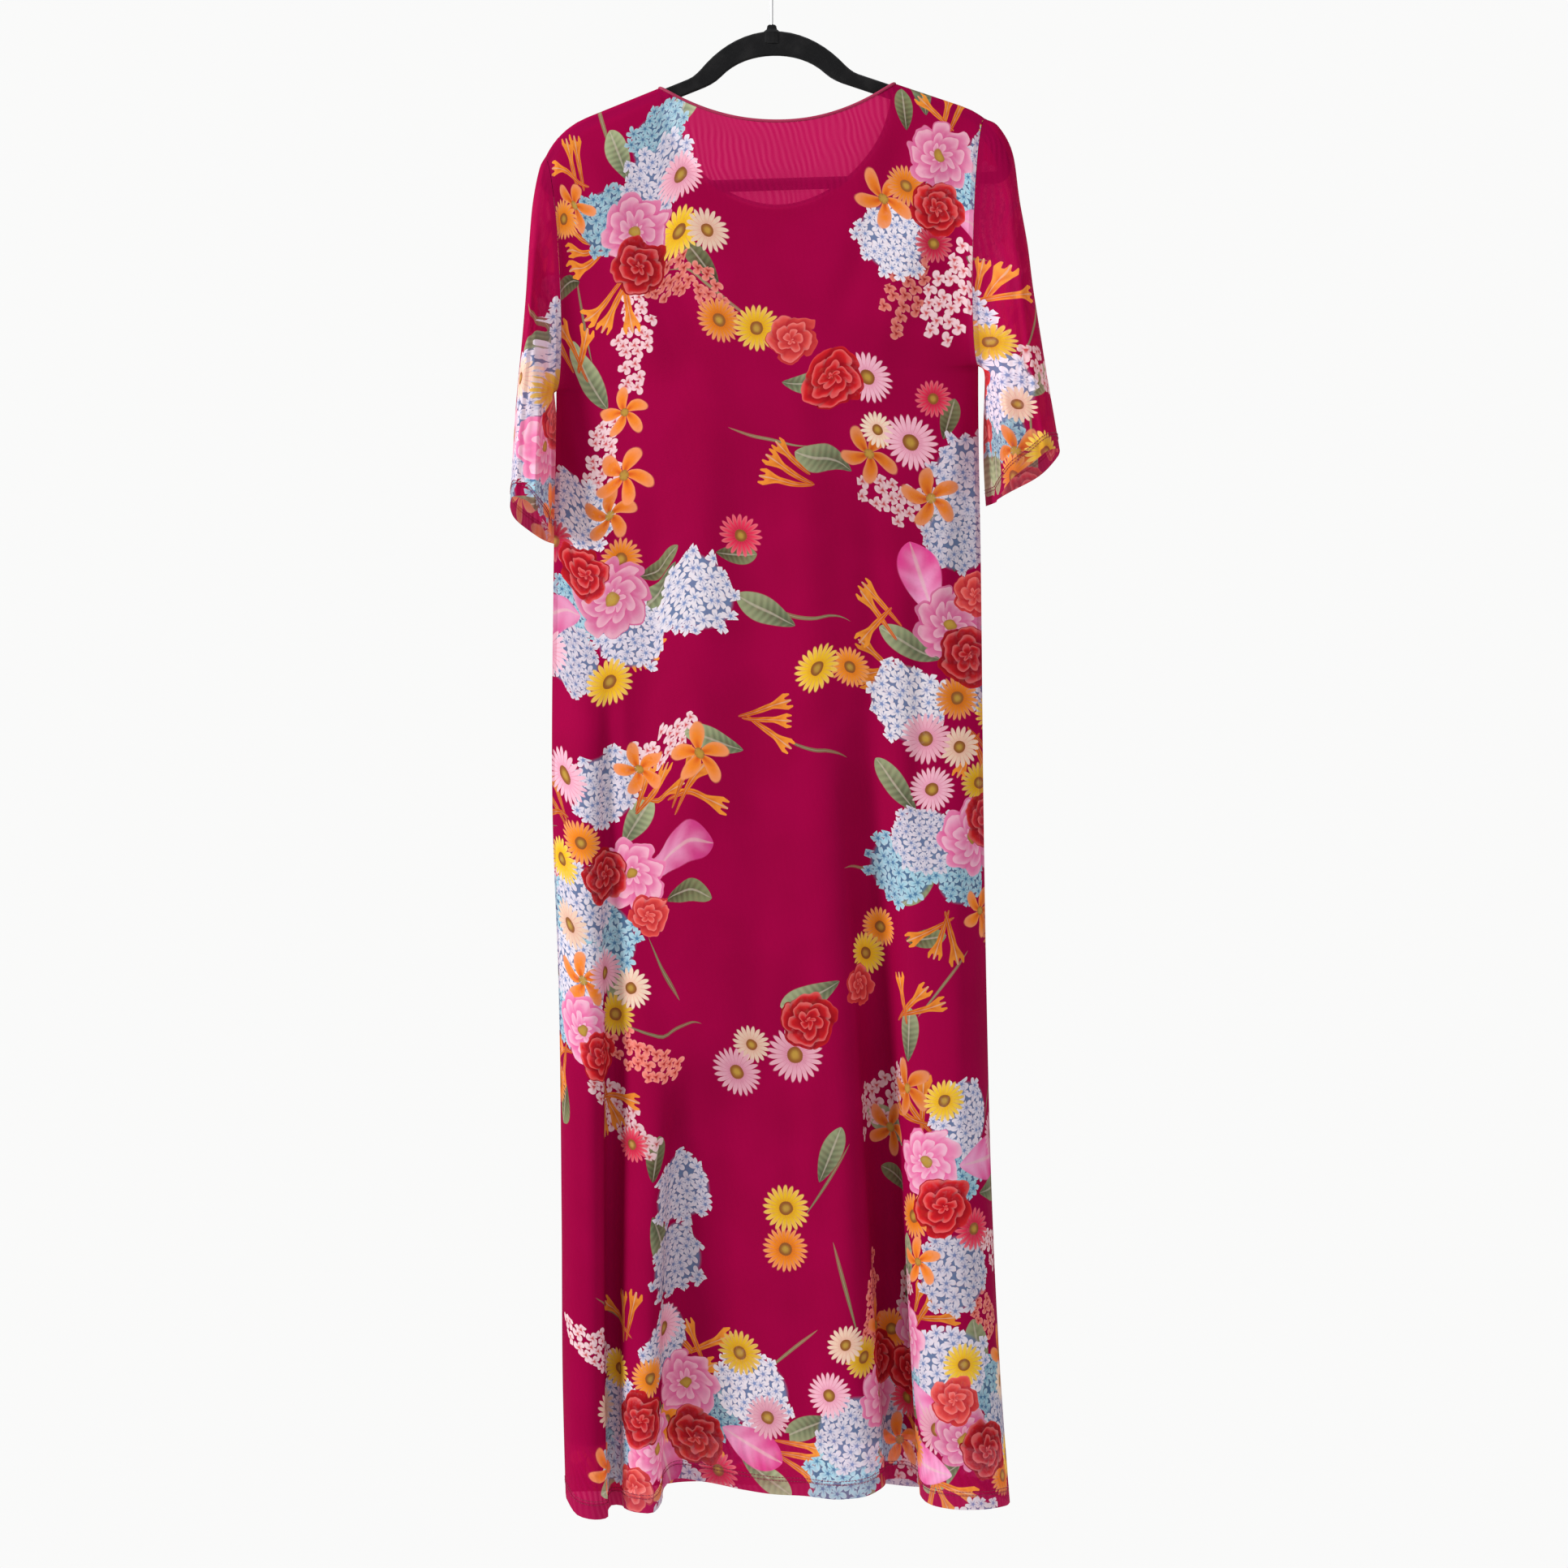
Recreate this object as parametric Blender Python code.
"""A sheer printed midi dress with a sleeveless lining, hanging from a flocked hanger.

Sizes are in millimetres and become metres when a mesh is made. The origin is the inside
top of the hanger's hook, where a rail carries it. +X is the wearer's right, +Y the
garment's front and +Z is up.
"""

import math

import bpy
import numpy as np

MM = 0.001

# Cloth
WALL = 1.5  # sheer mesh panels and sleeves
LINING_WALL = 1.0
SEAM_GAP = 0.3
LINING_OFFSET = 1.6  # from the middle of the mesh wall to the middle of the lining wall
LINING_SLACK = 1.2  # how much further in the lining hangs between underarm and shoulder
BINDING_WALL = 1.8
BINDING_HEIGHT = 2.8

# Hanger, before its tilt
HANGER_THICKNESS = 5.0
HANGER_EDGE = 1.3  # how far the flat face's edges are rounded off
HANGER_TILT = math.radians(1.75)
TILT_PIVOT_Z = -84.0
ARCH_TOP_Z = -95.4  # middle of the arch at its top
ARCH_RADIUS = 78.0
ARCH_ANGLE = math.radians(45.0)
NECK_CURVE_RADIUS = 62.0
ARM_SLOPE = math.radians(20.3)
ARM_LENGTH = 101.1
SHOULDER_RADIUS = 64.0
SHOULDER_ANGLE = math.radians(80.0)
CORNER_RADIUS = 9.0
ARCH_HALF_WIDTH = 11.4
ARCH_END_HALF_WIDTH = 9.3
ARM_HALF_WIDTH = 6.35
BAR_HALF_WIDTH = 5.5

# Boss and hook
BOSS_TOP_Z = -78.0
BOSS_TOP_RADIUS = 4.2
BOSS_FOOT_RADIUS = 8.5
BOSS_DEPTH = 17.0
WIRE_RADIUS = 1.6
HOOK_RADIUS = 22.5
HOOK_SHANK_TOP_Z = -54.0
HOOK_START = math.radians(-35.0)
HOOK_END = math.radians(205.0)

# Shoulder and neckline
SHOULDER_LIFT = 2.5  # shoulder seam above the hanger's arm
OVER_ARM_RADIUS = 5.4  # the cloth's curve over the arm
OVER_ARM_SPREAD = 0.28
NECK_X = (-105.6, 115.5)  # left and right neck points
BACK_NECK_Z = -170.0
BACK_NECK_POWER = 2.1
FRONT_NECK_Z = -246.0
FRONT_NECK_POWER = 1.85
NECK_START = 2.2  # the front neckline leaves the shoulder seam this gently
NECK_COLUMN = 0.8  # first column of a panel inside a neck point
LINING_NECK_DROP = 5.0
LINING_SHOULDER_DROP = 7.0
LINING_SIDE_INSET = 5.0
TIP_COLUMNS = (6.0, 16.0, 30.0)  # columns near a shoulder tip

# Armholes: the tip of the shoulder, the underarm and how far the seam bows inwards
TIP_X = (-212.0, 199.0)
UNDERARM_X = (-201.4, 193.0)
UNDERARM_Z = (-420.0, -397.0)
ARMHOLE_BOW = (9.5, -9.0)
BOW_REACH = 10  # a higher power keeps the bow nearer the armhole
ARMHOLE_HALF_DEPTH = 15.0
ARMHOLE_REACH = 14  # a higher power keeps that depth nearer the armhole

# Side seams, one row for each height
SIDE_COLUMNS = ("z", "left_x", "right_x")
SIDE_ROWS = (
    (-397, -201.4, 193.0),
    (-420, -201.4, 193.0),
    (-590, -204.0, 195.5),
    (-815, -205.0, 198.0),
    (-970, -199.5, 200.5),
    (-1195, -196.5, 206.5),
    (-1345, -195.5, 214.0),
    (-1470, -192.3, 223.4),
)

# How far each panel stands from the middle plane between its seams
DEPTH_COLUMNS = ("z", "depth")
DEPTH_ROWS = ((-130, 6.5), (-250, 12), (-420, 20), (-700, 24), (-1000, 26), (-1470, 26))
DEPTH_POWER = 2.6

# Folds at the hem, from the left seam to the right seam. y is the depth of the fold,
# hem_z where the hem hangs there, and start_z where the fold begins to form.
FOLD_COLUMNS = ("x", "y", "hem_z", "start_z")
BACK_FOLDS = (
    (-192.3, 0, -1450, -560),
    (-189.0, -22, -1453, -560),
    (-178.6, -38, -1463, -560),
    (-161.9, -43, -1466, -560),
    (-151.4, -34, -1466, -560),
    (-151.4, -17, -1462, -560),
    (-147.4, -6, -1460, -590),
    (-139.4, -9, -1460, -760),
    (-136.0, -22, -1460, -900),
    (-122.4, -36, -1461, -950),
    (-107.2, -37, -1460, -980),
    (-101.0, -27, -1452, -1000),
    (-100.2, -12, -1444, -1000),
    (-93.0, -1, -1438, -1000),
    (-61.6, 5, -1441, -1000),
    (-27.0, 0, -1447, -1000),
    (0.0, -6, -1450, -1000),
    (29.6, -14, -1450, -950),
    (67.6, -30, -1450, -900),
    (90.4, -32, -1446, -850),
    (105.2, -19, -1440, -700),
    (107.6, 0, -1438, -680),
    (114.0, 15, -1440, -660),
    (127.0, 20, -1441, -650),
    (138.4, 8, -1444, -650),
    (138.8, -14, -1449, -660),
    (147.4, -38, -1453, -680),
    (170.2, -51, -1455, -720),
    (196.8, -50, -1455, -720),
    (217.0, -30, -1456, -720),
    (223.4, 0, -1459, -720),
)
FRONT_FOLDS = (
    (-192.3, 0, -1450, -600),
    (-184.0, 20, -1453, -600),
    (-163.0, 36, -1456, -600),
    (-138.0, 36, -1455, -640),
    (-112.0, 46, -1453, -700),
    (-84.0, 55, -1451, -800),
    (-52.0, 50, -1450, -900),
    (-22.0, 36, -1450, -900),
    (8.0, 36, -1450, -900),
    (38.0, 50, -1451, -850),
    (70.0, 58, -1451, -800),
    (102.0, 50, -1451, -700),
    (130.0, 44, -1453, -650),
    (160.0, 46, -1455, -650),
    (190.0, 38, -1457, -700),
    (215.0, 20, -1458, -720),
    (223.4, 0, -1459, -720),
)

# Rows of the solids: angles round the armhole, and steps from the hem to the underarm
ARMHOLE_DEGREES = (180, 160, 138, 116, 94, 72, 52, 34, 19, 8.5, 0)
HEM_STEPS = (0, 0.03, 0.09, 0.16, 0.25, 0.35, 0.45, 0.55, 0.66, 0.77, 0.89, 1)
NECK_DEGREES = (15, 32, 50, 70, 90, 110, 130, 148, 165)
LINING_HEM_Z = -1399.0

# Sleeves, one row for each station down the sleeve. The outer and inner columns are the
# edges seen from the back, and the near and far columns the depth to each side.
SLEEVE_COLUMNS = ("outer_x", "outer_z", "inner_x", "inner_z", "near_y", "far_y", "far_drop")
LEFT_SLEEVE = (
    (-217.3, -213, -204.6, -424, -19, 19, 0),
    (-223.3, -243, -206.0, -433, -24, 24, 2),
    (-226.8, -281, -206.8, -447, -30, 31, 5),
    (-229.8, -327, -207.2, -464, -37, 38, 9),
    (-233.6, -370, -207.4, -483, -42, 44, 14),
    (-238.1, -415, -207.5, -502, -45, 49, 19),
    (-241.5, -460, -207.5, -520, -47, 52, 24),
    (-244.6, -514, -207.5, -540, -48, 54, 30),
)
RIGHT_SLEEVE = (
    (212.0, -173, 197.6, -400, -18, 18, 0),
    (225.0, -197, 199.6, -408, -22, 22, 1),
    (231.5, -240, 201.0, -421, -28, 28, 3),
    (239.0, -281, 202.0, -437, -33, 33, 6),
    (243.8, -318, 203.4, -453, -37, 38, 9),
    (250.5, -360, 205.0, -469, -40, 42, 12),
    (257.4, -402, 206.8, -485, -42, 45, 15),
    (264.2, -440, 208.6, -500, -43, 47, 18),
    (269.0, -468, 210.0, -514, -44, 50, 20),
)
SLEEVE_RIPPLE = 4.0  # height of the soft folds round a sleeve's hem
SLEEVE_RIPPLES = 5
SLEEVE_OVERLAP = 26.0  # how far the far layer hangs in behind the body's side


def column(rows, names, name):
    """One named column of a table as an array."""
    return np.array([row[names.index(name)] for row in rows], float)


def smooth_curve(at, xs, ys):
    """A smooth curve through the points xs, ys, read at the places in at. xs rises."""
    xs, ys = np.asarray(xs, float), np.asarray(ys, float)
    slopes = np.gradient(ys, xs)
    at = np.clip(np.asarray(at, float), xs[0], xs[-1])
    i = np.clip(np.searchsorted(xs, at, side="right") - 1, 0, len(xs) - 2)
    step = xs[i + 1] - xs[i]
    t = (at - xs[i]) / step
    return (
        ys[i] * (1 + 2 * t) * (1 - t) ** 2
        + slopes[i] * step * t * (1 - t) ** 2
        + ys[i + 1] * t * t * (3 - 2 * t)
        - slopes[i + 1] * step * t * t * (1 - t)
    )


def blend(a, b, t):
    return a + (b - a) * t


def smooth_step(t):
    t = np.clip(t, 0, 1)
    return t * t * (3 - 2 * t)


# Hanger

def tilted(x, z):
    """A point of the upright hanger where the tilt brings it."""
    c, s = math.cos(HANGER_TILT), math.sin(HANGER_TILT)
    dz = z - TILT_PIVOT_Z
    return x * c - dz * s, TILT_PIVOT_Z + x * s + dz * c


def hanger_half_line():
    """The middle line of the right half from the arch's top to the middle of the bar.

    Returns x, z, the slope below level and the half width, as arrays.
    """
    runs = (
        (ARCH_RADIUS, 0.0, ARCH_ANGLE, 8, ARCH_HALF_WIDTH, ARCH_END_HALF_WIDTH),
        (NECK_CURVE_RADIUS, ARCH_ANGLE, ARM_SLOPE, 5, ARCH_END_HALF_WIDTH, ARM_HALF_WIDTH),
        (None, ARM_SLOPE, ARM_LENGTH, 4, ARM_HALF_WIDTH, ARM_HALF_WIDTH),
        (SHOULDER_RADIUS, ARM_SLOPE, SHOULDER_ANGLE, 7, ARM_HALF_WIDTH, ARM_HALF_WIDTH),
        (CORNER_RADIUS, SHOULDER_ANGLE, math.pi, 6, ARM_HALF_WIDTH, BAR_HALF_WIDTH),
    )
    points = [(0.0, ARCH_TOP_Z, 0.0, ARCH_HALF_WIDTH)]
    for radius, first, last, count, wide_a, wide_b in runs:
        x, z = points[-1][:2]
        for i in range(1, count + 1):
            t = i / count
            wide = blend(wide_a, wide_b, smooth_step(t))
            if radius is None:
                along = last * t
                points.append((x + along * math.cos(first), z - along * math.sin(first), first, wide))
                continue
            slope = blend(first, last, t)
            turn = radius if last > first else -radius
            points.append((
                x + turn * (math.sin(slope) - math.sin(first)),
                z - turn * (math.cos(first) - math.cos(slope)),
                slope,
                wide,
            ))
    x, z = points[-1][:2]
    for t in (0.3, 0.65, 1.0):
        points.append((x * (1 - t), z, math.pi, BAR_HALF_WIDTH))
    return np.array(points, float).T


def shoulder_line(at_x):
    """Height of the cloth's top over the hanger's arms, at each x."""
    x, z, slope, wide = hanger_half_line()
    top = slope < SHOULDER_ANGLE + 0.01
    reach = wide[top] + SHOULDER_LIFT
    edge_x = x[top] + reach * np.sin(slope[top])
    edge_z = z[top] + reach * np.cos(slope[top])
    all_x = np.concatenate([-edge_x[:0:-1], edge_x])
    all_z = np.concatenate([edge_z[:0:-1], edge_z])
    line_x, line_z = tilted(all_x, all_z)
    return np.interp(at_x, line_x, line_z)


# Body panels

def neckline(x, bottom_z, power, front):
    """Height of a neckline that joins the two neck points."""
    middle = sum(NECK_X) / 2
    half = (NECK_X[1] - NECK_X[0]) / 2
    across = np.clip(np.abs(x - middle) / half, 0, 1)
    ends = shoulder_line(np.array(NECK_X))
    end_z = np.where(x < middle, ends[0], ends[1])
    if front:
        fall = (1 - across**power) ** (1 / power) * (1 - np.exp(half * (across - 1) / NECK_START))
    else:
        fall = 1 - across**power
    return blend(end_z, bottom_z, fall)


class Panel:
    """One half of the body: side is -1 for the back and +1 for the front."""

    def __init__(self, side, folds, neck_z, neck_power):
        self.side = side
        self.neck_z, self.neck_power = neck_z, neck_power
        self.fold_x = column(folds, FOLD_COLUMNS, "x")
        self.fold_y = column(folds, FOLD_COLUMNS, "y")
        self.fold_z = column(folds, FOLD_COLUMNS, "hem_z")
        self.fold_start = column(folds, FOLD_COLUMNS, "start_z")
        run = np.hypot(np.diff(self.fold_x), np.diff(self.fold_y))
        self.share = np.concatenate([[0], np.cumsum(run)]) / run.sum()

    def edges(self, k):
        """Left and right edge x of the row k: 0 hem, 1 underarm, 2 shoulder tip."""
        turn = math.pi * (2 - np.clip(k, 1, 2))
        found = []
        for i, name in enumerate(("left_x", "right_x")):
            z = blend(self.fold_z[-i], UNDERARM_Z[i], np.clip(k, 0, 1))
            heights = column(SIDE_ROWS, SIDE_COLUMNS, "z")[::-1]
            low = smooth_curve(z, heights, column(SIDE_ROWS, SIDE_COLUMNS, name)[::-1])
            high = blend(UNDERARM_X[i], TIP_X[i], (1 + np.cos(turn)) / 2)
            found.append(np.where(k <= 1, low, high))
        return found

    def across(self, u, k):
        """The x of flat points, before any fold moves them."""
        left, right = self.edges(k)
        bow = np.sin(math.pi * (2 - np.clip(k, 1, 2)))
        bow_left = ARMHOLE_BOW[0] * bow * (1 - u) ** BOW_REACH
        bow_right = ARMHOLE_BOW[1] * bow * u**BOW_REACH
        return blend(left, right, u) + bow_left + bow_right

    def top(self, u):
        """Height of the panel's top edge: shoulder, neckline, shoulder."""
        x = blend(TIP_X[0], TIP_X[1], u)
        line = shoulder_line(x)
        neck = neckline(x, self.neck_z, self.neck_power, self.side > 0)
        return np.where((x > NECK_X[0]) & (x < NECK_X[1]), np.minimum(neck, line), line)

    def height(self, u, k, top):
        """Height of the points: hem to underarm to top."""
        under = blend(UNDERARM_Z[0], UNDERARM_Z[1], u)
        hem = smooth_curve(u, self.share, self.fold_z)
        turn = math.pi * (2 - np.clip(k, 1, 2))
        return np.where(
            k <= 1,
            blend(hem, under, np.clip(k, 0, 1)),
            blend(under, top, (1 + np.cos(turn)) / 2),
        )

    def points(self, u, k, top=None):
        """The middle of the wall at cloth position u, 0 to 1, and row k, 0 to 2."""
        u, k = np.broadcast_arrays(np.asarray(u, float), np.asarray(k, float))
        z = self.height(u, k, self.top(u) if top is None else top)
        left, right = self.edges(k)
        x = self.across(u, k)
        turn = math.pi * (2 - np.clip(k, 1, 2))
        rows = column(DEPTH_ROWS, DEPTH_COLUMNS, "z")[::-1]
        full = smooth_curve(z, rows, column(DEPTH_ROWS, DEPTH_COLUMNS, "depth")[::-1])
        to_side = np.abs(2 * u - 1)
        power = DEPTH_POWER + 4 * (1 + np.cos(turn))
        depth = blend(full, WALL / 2 + SEAM_GAP / 2, to_side**power)
        depth = depth + ARMHOLE_HALF_DEPTH * np.sin(turn) * to_side**ARMHOLE_REACH
        depth = np.maximum(depth, (OVER_ARM_RADIUS + 0.8) * smooth_step((k - 1) * 3))
        y = self.side * np.minimum(depth, self.over_arm(x, z))
        return self.folded(u, x, y, z, left, right)

    def normals(self, u, k, top=None):
        """Unit normals of the middle surface, pointing away from the wearer."""
        step = 0.002
        top = self.top(u) if top is None else top
        lower, upper = np.clip(u - step, 0, 1), np.clip(u + step, 0, 1)
        along_u = self.points(upper, k, top) - self.points(lower, k, top)
        lower, upper = np.clip(k - step * 2, 0, 2), np.clip(k + step * 2, 0, 2)
        along_k = self.points(u, upper, top) - self.points(u, lower, top)
        n = np.cross(along_u, along_k)
        n /= np.maximum(np.linalg.norm(n, axis=-1, keepdims=True), 1e-12)
        return n if self.side < 0 else -n

    def over_arm(self, x, z):
        """The most that the wall may stand off where it comes down from over the arm."""
        below = np.maximum(shoulder_line(x) - z, 0)
        round_part = np.sqrt(np.maximum(
            OVER_ARM_RADIUS**2 - np.maximum(OVER_ARM_RADIUS - below, 0) ** 2, 0))
        return SEAM_GAP / 2 + round_part + OVER_ARM_SPREAD * np.maximum(below - OVER_ARM_RADIUS, 0)

    def folded(self, u, x, y, z, left, right):
        """Moves flat points onto the folds, which deepen towards the hem."""
        hem_z = np.interp(u, self.share, self.fold_z)
        start = np.interp(u, self.share, self.fold_start)
        t = np.clip((start - z) / (start - hem_z), 0, 1)
        strength = (1 - (1 - t) ** 1.8) * smooth_step(t / 0.2)
        width = self.fold_x[-1] - self.fold_x[0]
        fold_x = smooth_curve(u, self.share, self.fold_x) - self.fold_x[0]
        fold_y = smooth_curve(u, self.share, self.fold_y)
        x = blend(x, left + fold_x * (right - left) / width, strength)
        return np.stack([x, blend(y, fold_y, strength), z], -1)


def panel_columns(panel):
    """Cloth positions of a solid's columns: its folds, its neck points and a few between."""
    width = TIP_X[1] - TIP_X[0]
    middle = (sum(NECK_X) / 2 - TIP_X[0]) / width
    half = (NECK_X[1] - NECK_X[0]) / 2 / width
    found = [middle - half, middle - half + NECK_COLUMN / width]
    found += [middle + half - NECK_COLUMN / width, middle + half]
    found += [x / width for x in TIP_COLUMNS] + [1 - x / width for x in TIP_COLUMNS]
    for more in (panel.share, [middle - half * math.cos(math.radians(d)) for d in NECK_DEGREES]):
        found += [u for u in more if min(abs(u - other) for other in found) > 0.006]
    return np.array(sorted(found))


def panel_grid(panel):
    rows = list(HEM_STEPS) + [2 - d / 180 for d in ARMHOLE_DEGREES[1:]]
    u, k = np.meshgrid(panel_columns(panel), rows, indexing="ij")
    points = panel.points(u, k)
    normals = panel.normals(u, k)
    high = k[0] >= 1
    for i in (0, -1):  # the edges of the two panels meet a seam gap apart
        normals[i, high, 0] = 0
        normals[i] /= np.linalg.norm(normals[i], axis=-1, keepdims=True)
        low = k[i] <= 1
        stand = SEAM_GAP / 2 + WALL / 2 * np.abs(normals[i, :, 1])
        points[i, low, 1] = panel.side * stand[low]
    seam = np.abs(points[:, -1, 1]) < SEAM_GAP
    normals[seam, -1, 1] = 0
    normals[seam, -1] /= np.linalg.norm(normals[seam, -1], axis=-1, keepdims=True)
    return points, normals


def lining_grid(panel):
    """The lining hangs inside its panel, on the same columns, and is cut lower."""
    columns = panel_columns(panel)
    inset = LINING_SIDE_INSET / (TIP_X[1] - TIP_X[0])
    columns[0], columns[-1] = inset, 1 - inset
    x = blend(TIP_X[0], TIP_X[1], columns)
    line = shoulder_line(x)
    neck = neckline(x, FRONT_NECK_Z, FRONT_NECK_POWER, True) - LINING_NECK_DROP
    at_neck = (x > NECK_X[0]) & (x < NECK_X[1])
    lower = np.minimum(shoulder_line(x - LINING_SHOULDER_DROP), shoulder_line(x + LINING_SHOULDER_DROP))
    top = np.minimum(np.where(at_neck, neck, line), np.minimum(line, lower) - LINING_SHOULDER_DROP)
    under = blend(UNDERARM_Z[0], UNDERARM_Z[1], columns)
    hem = smooth_curve(columns, panel.share, panel.fold_z)
    first = (LINING_HEM_Z - hem) / (under - hem)
    low = [np.full_like(columns, step) for step in HEM_STEPS if step > first.max() + 0.02]
    longer = np.minimum((panel.top(columns) - under) / (top - under), 1.05)
    high = []
    for degrees in ARMHOLE_DEGREES[1:-3]:
        share = (1 + math.cos(math.radians(degrees))) / 2 * longer
        high.append(2 - np.arccos(2 * share - 1) / math.pi)
    k = np.stack([first] + low + high + [np.full_like(columns, 2.0)], 1)
    u = np.repeat(columns[:, None], k.shape[1], 1)
    tops = np.repeat(top[:, None], k.shape[1], 1)
    points = panel.points(u, k, tops)
    normals = panel.normals(u, k, tops)
    looser = LINING_SLACK * smooth_step((k - 1) * 4)
    points = points - normals * (LINING_OFFSET + looser)[..., None]
    seam = 1 - smooth_step((k - 1) / 0.15)
    for i, edge in ((0, 0), (-1, 1)):
        side_x = panel.across(edge, k[i]) + LINING_SIDE_INSET * (1 - 2 * edge)
        stand = SEAM_GAP / 2 + LINING_WALL / 2 * np.abs(normals[i, :, 1])
        points[i, :, 0] = blend(points[i, :, 0], side_x, seam[i])
        points[i, :, 1] = blend(points[i, :, 1], panel.side * stand, seam[i])
    return points, normals


def binding_rings(back, front):
    """Sections of the neck binding, which stands on the necklines a seam gap above them."""
    path, normals = [], []
    for panel in (back, front):
        columns = panel_columns(panel)
        x = blend(TIP_X[0], TIP_X[1], columns)
        columns = columns[(x > NECK_X[0] - 0.01) & (x < NECK_X[1] + 0.01)]
        points = panel.points(columns, 2.0)
        found = panel.normals(columns, np.full_like(columns, 2.0))
        points[0, 1] = points[-1, 1] = 0
        found[0, 1] = found[-1, 1] = 0
        turn = slice(None) if panel.side < 0 else slice(None, None, -1)
        path.append(points[turn][:-1])
        normals.append(found[turn][:-1])
    path, normals = np.concatenate(path), np.concatenate(normals)
    normals /= np.linalg.norm(normals, axis=1, keepdims=True)
    ahead = np.roll(path, -1, 0) - path
    behind = path - np.roll(path, 1, 0)
    ahead /= np.linalg.norm(ahead, axis=1, keepdims=True)
    behind /= np.linalg.norm(behind, axis=1, keepdims=True)
    up = np.cross(normals, ahead + behind)
    up /= np.linalg.norm(up, axis=1, keepdims=True)
    low = path + up * (SEAM_GAP + 0.1) + normals * (BINDING_WALL - WALL)
    high = low + up * BINDING_HEIGHT
    out = normals * BINDING_WALL / 2
    bulge = low + up * BINDING_HEIGHT / 2
    rings = [low + out, bulge + out * 1.15, high + out * 0.7]
    rings += [high - out * 0.7, bulge - out, low - out]
    return np.stack(rings, 1)


# Sleeves

def sleeve_rings(back, front, back_normals, front_normals, table, right):
    """Rings of points and normals from the armhole seam to the sleeve's hem."""
    edge = -1 if right else 0
    out = 1 if right else -1
    first = len(HEM_STEPS) - 1
    near, far = back[edge, first:], front[edge, first:]
    near_n, far_n = back_normals[edge, first:], front_normals[edge, first:]
    count = len(near) - 1
    ring = np.concatenate([near[::-1], far[1:-1]])
    normals = np.concatenate([near_n[::-1], far_n[1:-1]])
    ring[0, 1] = ring[count, 1] = 0
    normals[0] = (0.3 * out, 0, 0.95)
    normals[count] = (0.3 * out, 0, -0.95)
    ring = ring + np.array([out * (SEAM_GAP + 0.05), 0, 0])
    degrees = np.array(ARMHOLE_DEGREES[::-1], float)
    turn = np.radians(np.concatenate([degrees, 360 - degrees[::-1][1:-1]]))
    rings = [ring]
    for row, values in enumerate(table):
        cut = dict(zip(SLEEVE_COLUMNS, values))
        t = (row + 1) / len(table)
        even = np.linspace(0, 2 * math.pi, len(turn), endpoint=False)
        angle = blend(turn, even, smooth_step(t * 1.6))
        rings.append(sleeve_ring(cut, angle, t))
    rings = np.array(rings)
    du = np.gradient(rings, axis=0)
    wrapped = np.concatenate([rings[:, -1:], rings, rings[:, :1]], axis=1)
    dk = (wrapped[:, 2:] - wrapped[:, :-2]) / 2
    n = np.cross(dk, du) * out
    n /= np.maximum(np.linalg.norm(n, axis=-1, keepdims=True), 1e-9)
    n[0] = normals / np.linalg.norm(normals, axis=-1, keepdims=True)
    return rings, n


def sleeve_ring(cut, angle, t):
    """One ring: a slanting oval, lower at the far side, with soft folds lower down."""
    share = (1 + np.cos(angle)) / 2
    x = blend(cut["inner_x"], cut["outer_x"], share)
    z = blend(cut["inner_z"], cut["outer_z"], share)
    across = np.sin(angle)
    depth = np.where(across > 0, cut["near_y"], -cut["far_y"]) * across
    z = z - cut["far_drop"] * (1 - across) / 2
    behind = SLEEVE_OVERLAP * smooth_step(t) * np.maximum(-across, 0) * (1 - share)
    x = x - behind * math.copysign(1, cut["outer_x"])
    ripple = SLEEVE_RIPPLE * smooth_step(t) * np.sin(SLEEVE_RIPPLES * angle) * np.abs(across)
    return np.stack([x + ripple * 0.35, depth + ripple, z], -1)


# Meshes

def new_object(name, points, faces, material, smooth=True):
    mesh = bpy.data.meshes.new(name)
    mesh.from_pydata([tuple(p) for p in np.asarray(points) * MM], [], faces)
    mesh.validate()
    mesh.materials.append(material)
    if smooth:
        mesh.shade_smooth()
        mesh.set_sharp_from_angle(angle=math.radians(40))
    found = bpy.data.objects.new(name, mesh)
    bpy.context.scene.collection.objects.link(found)
    return found


def facing_out(faces, points):
    """The faces, turned round if they enclose a negative volume."""
    p = np.asarray(points, float)
    volume = 0.0
    for f in faces:
        for i in range(1, len(f) - 1):
            volume += np.dot(p[f[0]], np.cross(p[f[i]], p[f[i + 1]]))
    return faces if volume > 0 else [tuple(reversed(f)) for f in faces]


def wall_faces(middle, corners, half):
    """Both sides of one cell of a wall, split along the same, shorter diagonal."""
    a, b, c, d = corners
    if np.linalg.norm(middle[a] - middle[c]) > np.linalg.norm(middle[b] - middle[d]):
        a, b, c, d = b, c, d, a
    found = [(a, b, c), (a, c, d)]
    return found + [tuple(half + v for v in reversed(face)) for face in found]


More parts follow.
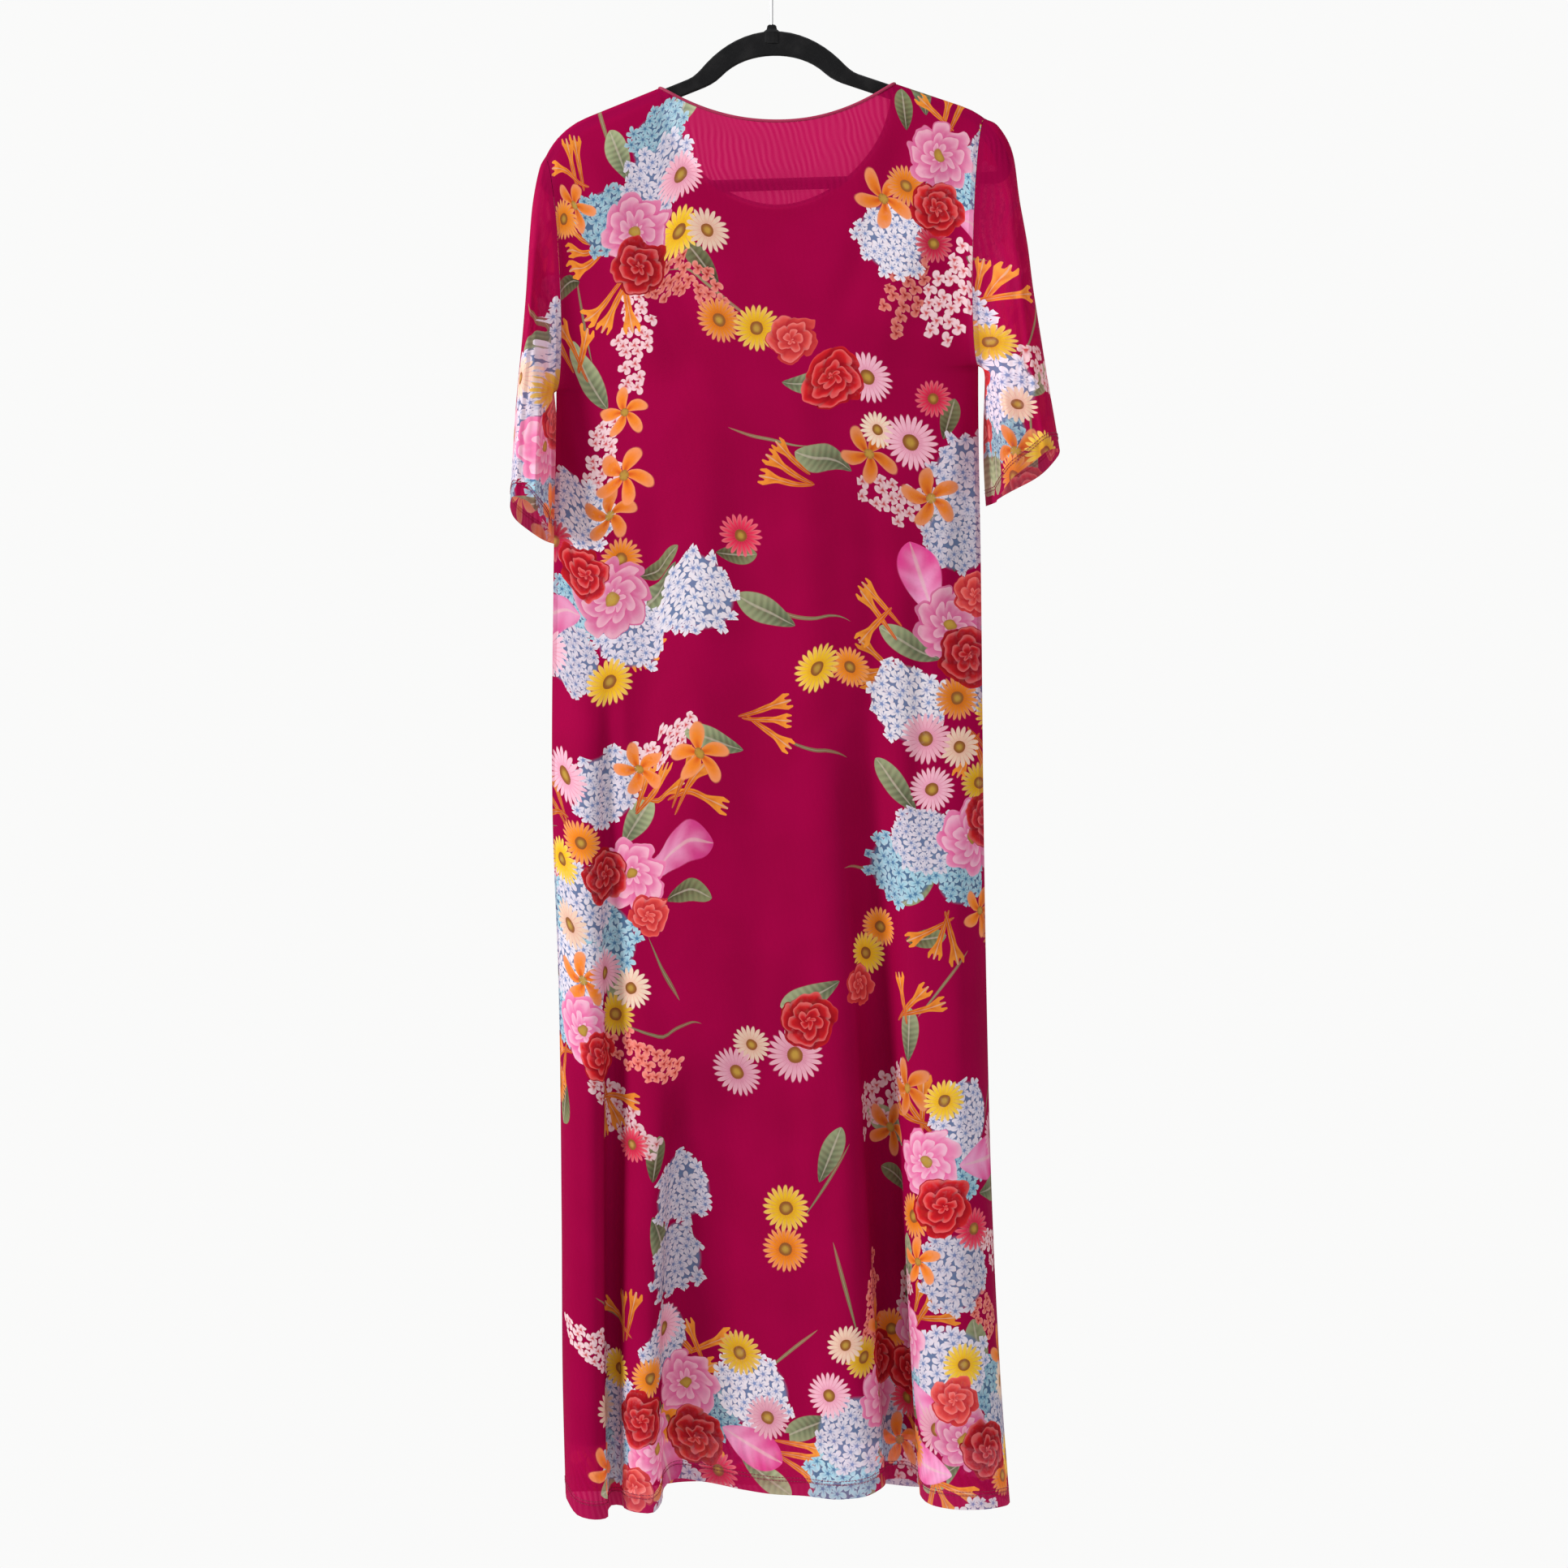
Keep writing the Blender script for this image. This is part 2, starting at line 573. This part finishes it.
def sheet_solid(name, points, normals, wall, material):
    """A closed wall round a grid of middle points."""
    nu, nk = points.shape[:2]
    middle = points.reshape(-1, 3)
    outer = (points + normals * wall / 2).reshape(-1, 3)
    inner = (points - normals * wall / 2).reshape(-1, 3)
    half = nu * nk
    index = np.arange(half).reshape(nu, nk)
    faces = []
    for i in range(nu - 1):
        for j in range(nk - 1):
            corners = (index[i, j], index[i + 1, j], index[i + 1, j + 1], index[i, j + 1])
            faces += wall_faces(middle, corners, half)
    rim = (
        list(index[:, 0]) + list(index[-1, 1:]) + list(index[-2::-1, -1]) + list(index[0, -2:0:-1])
    )
    for a, b in zip(rim, rim[1:] + rim[:1]):
        faces.append((a, half + a, half + b, b))
    all_points = np.concatenate([outer, inner])
    faces = [tuple(int(v) for v in f) for f in faces]
    return new_object(name, all_points, facing_out(faces, all_points), material)


def tube_solid(name, rings, normals, wall, material):
    """A closed wall round a tube of rings, open at both ends."""
    nr, nt = rings.shape[:2]
    middle = rings.reshape(-1, 3)
    outer = (rings + normals * wall / 2).reshape(-1, 3)
    inner = (rings - normals * wall / 2).reshape(-1, 3)
    half = nr * nt
    faces = []
    for i in range(nr - 1):
        for j in range(nt):
            a, b = i * nt + j, i * nt + (j + 1) % nt
            faces += wall_faces(middle, (a, b, b + nt, a + nt), half)
    for j in range(nt):
        a, b = j, (j + 1) % nt
        faces.append((a, half + a, half + b, b))
        c, d = (nr - 1) * nt + a, (nr - 1) * nt + b
        faces.append((c, d, half + d, half + c))
    all_points = np.concatenate([outer, inner])
    return new_object(name, all_points, facing_out(faces, all_points), material)


def swept_faces(stations, sides, closed):
    faces = []
    for i in range(stations if closed else stations - 1):
        for j in range(sides):
            a, b = i * sides + j, i * sides + (j + 1) % sides
            c = ((i + 1) % stations) * sides + (j + 1) % sides
            d = ((i + 1) % stations) * sides + j
            faces.append((a, b, c, d))
    if not closed:
        faces.append(tuple(reversed(range(sides))))
        faces.append(tuple((stations - 1) * sides + j for j in range(sides)))
    return faces


def hanger_loop():
    """The whole middle line, its outward direction and its half width."""
    x, z, slope, wide = hanger_half_line()
    right = np.stack([x, z, np.sin(slope), np.cos(slope), wide], -1)
    left = right[-2:0:-1] * np.array([-1, 1, -1, 1, 1])
    return np.concatenate([right, left])


def build_hanger(material):
    loop = hanger_loop()
    half = HANGER_THICKNESS / 2
    section = (
        (1, -half + HANGER_EDGE), (1, half - HANGER_EDGE), (0, half), (-1, half),
        (-2, half - HANGER_EDGE), (-2, -half + HANGER_EDGE), (-1, -half), (0, -half),
    )
    points = []
    for x, z, out_x, out_z, wide in loop:
        for place, y in section:
            reach = {1: wide, 0: wide - HANGER_EDGE, -1: HANGER_EDGE - wide, -2: -wide}[place]
            tx, tz = tilted(x + out_x * reach, z + out_z * reach)
            points.append((tx, y, tz))
    faces = swept_faces(len(loop), len(section), True)
    hanger = new_object("hanger", points, facing_out(faces, points), material)
    boss = build_boss(material)
    union = hanger.modifiers.new("boss", "BOOLEAN")
    union.operation = "UNION"
    union.solver = "EXACT"
    union.object = boss
    return hanger


def build_boss(material):
    """The small raised socket on the arch that holds the hook."""
    sides = 14
    profile = (
        (BOSS_TOP_Z, BOSS_TOP_RADIUS - 1.0),
        (BOSS_TOP_Z - 1.0, BOSS_TOP_RADIUS),
        (BOSS_TOP_Z - 4.0, BOSS_TOP_RADIUS + 0.6),
        (BOSS_TOP_Z - 7.0, BOSS_FOOT_RADIUS),
        (BOSS_TOP_Z - BOSS_DEPTH, BOSS_FOOT_RADIUS),
    )
    flat = 0.52  # the boss is as thin as the hanger allows
    points = []
    for z, radius in profile:
        for j in range(sides):
            a = 2 * math.pi * j / sides
            points.append((radius * math.cos(a), radius * flat * math.sin(a), z))
    faces = swept_faces(len(profile), sides, False)
    boss = new_object("boss_cutter", points, facing_out(faces, points), material)
    boss.hide_render = True
    boss.display_type = "WIRE"
    return boss


def hook_line():
    """The middle line of the wire, from the boss to the tip."""
    low = np.array([0.0, BOSS_TOP_Z + SEAM_GAP])
    bend = np.array([0.0, HOOK_SHANK_TOP_Z])
    middle = np.array([0.0, WIRE_RADIUS - HOOK_RADIUS])
    start = middle + HOOK_RADIUS * np.array([math.cos(HOOK_START), math.sin(HOOK_START)])
    heading = np.array([-math.sin(HOOK_START), math.cos(HOOK_START)])
    reach = np.linalg.norm(start - bend)
    points = [low, blend(low, bend, 0.5), bend]
    for i in range(1, 8):
        t = i / 8
        points.append(
            bend * (1 + 2 * t) * (1 - t) ** 2
            + np.array([0, 1]) * reach * t * (1 - t) ** 2
            + start * t * t * (3 - 2 * t)
            - heading * reach * t * t * (1 - t)
        )
    for i in range(25):
        a = blend(HOOK_START, HOOK_END, i / 24)
        points.append(middle + HOOK_RADIUS * np.array([math.cos(a), math.sin(a)]))
    return np.array(points)


def build_hook(material):
    line = hook_line()
    sides = 10
    heading = np.gradient(line, axis=0)
    heading /= np.linalg.norm(heading, axis=1, keepdims=True)
    points = []
    for i, ((x, z), (dx, dz)) in enumerate(zip(line, heading)):
        radius = WIRE_RADIUS * (0.55 if i == len(line) - 1 else 1.0)
        for j in range(sides):
            a = 2 * math.pi * j / sides
            points.append((
                x + radius * math.cos(a) * dz,
                radius * math.sin(a),
                z - radius * math.cos(a) * dx,
            ))
    faces = swept_faces(len(line), sides, False)
    return new_object("hanger_hook", points, facing_out(faces, points), material)


def make_material(name, colour, roughness, metallic=0.0):
    found = bpy.data.materials.new(name)
    found.use_nodes = True
    shader = found.node_tree.nodes["Principled BSDF"]
    shader.inputs["Base Color"].default_value = (*colour, 1)
    shader.inputs["Roughness"].default_value = roughness
    shader.inputs["Metallic"].default_value = metallic
    return found


def main():
    for old in list(bpy.data.objects):
        bpy.data.objects.remove(old)
    mesh_cloth = make_material("printed_mesh", (0.34, 0.002, 0.05), 0.75)
    lining_cloth = make_material("lining_jersey", (0.30, 0.001, 0.04), 0.8)
    flock = make_material("black_flock", (0.006, 0.006, 0.007), 0.95)
    steel = make_material("bright_steel", (0.85, 0.85, 0.86), 0.12, 1.0)
    build_hanger(flock)
    build_hook(steel)
    back = Panel(-1, BACK_FOLDS, BACK_NECK_Z, BACK_NECK_POWER)
    front = Panel(1, FRONT_FOLDS, FRONT_NECK_Z, FRONT_NECK_POWER)
    back_points, back_normals = panel_grid(back)
    front_points, front_normals = panel_grid(front)
    sheet_solid("back_panel", back_points, back_normals, WALL, mesh_cloth)
    sheet_solid("front_panel", front_points, front_normals, WALL, mesh_cloth)
    for name, panel in (("lining_back", back), ("lining_front", front)):
        points, normals = lining_grid(panel)
        sheet_solid(name, points, normals, LINING_WALL, lining_cloth)
    rings = binding_rings(back, front)
    faces = swept_faces(rings.shape[0], rings.shape[1], True)
    points = rings.reshape(-1, 3)
    new_object("neck_binding", points, facing_out(faces, points), mesh_cloth)
    for name, table, right in (
        ("sleeve_left", LEFT_SLEEVE, False),
        ("sleeve_right", RIGHT_SLEEVE, True),
    ):
        rings, normals = sleeve_rings(
            back_points, front_points, back_normals, front_normals, table, right)
        tube_solid(name, rings, normals, WALL, mesh_cloth)


main()
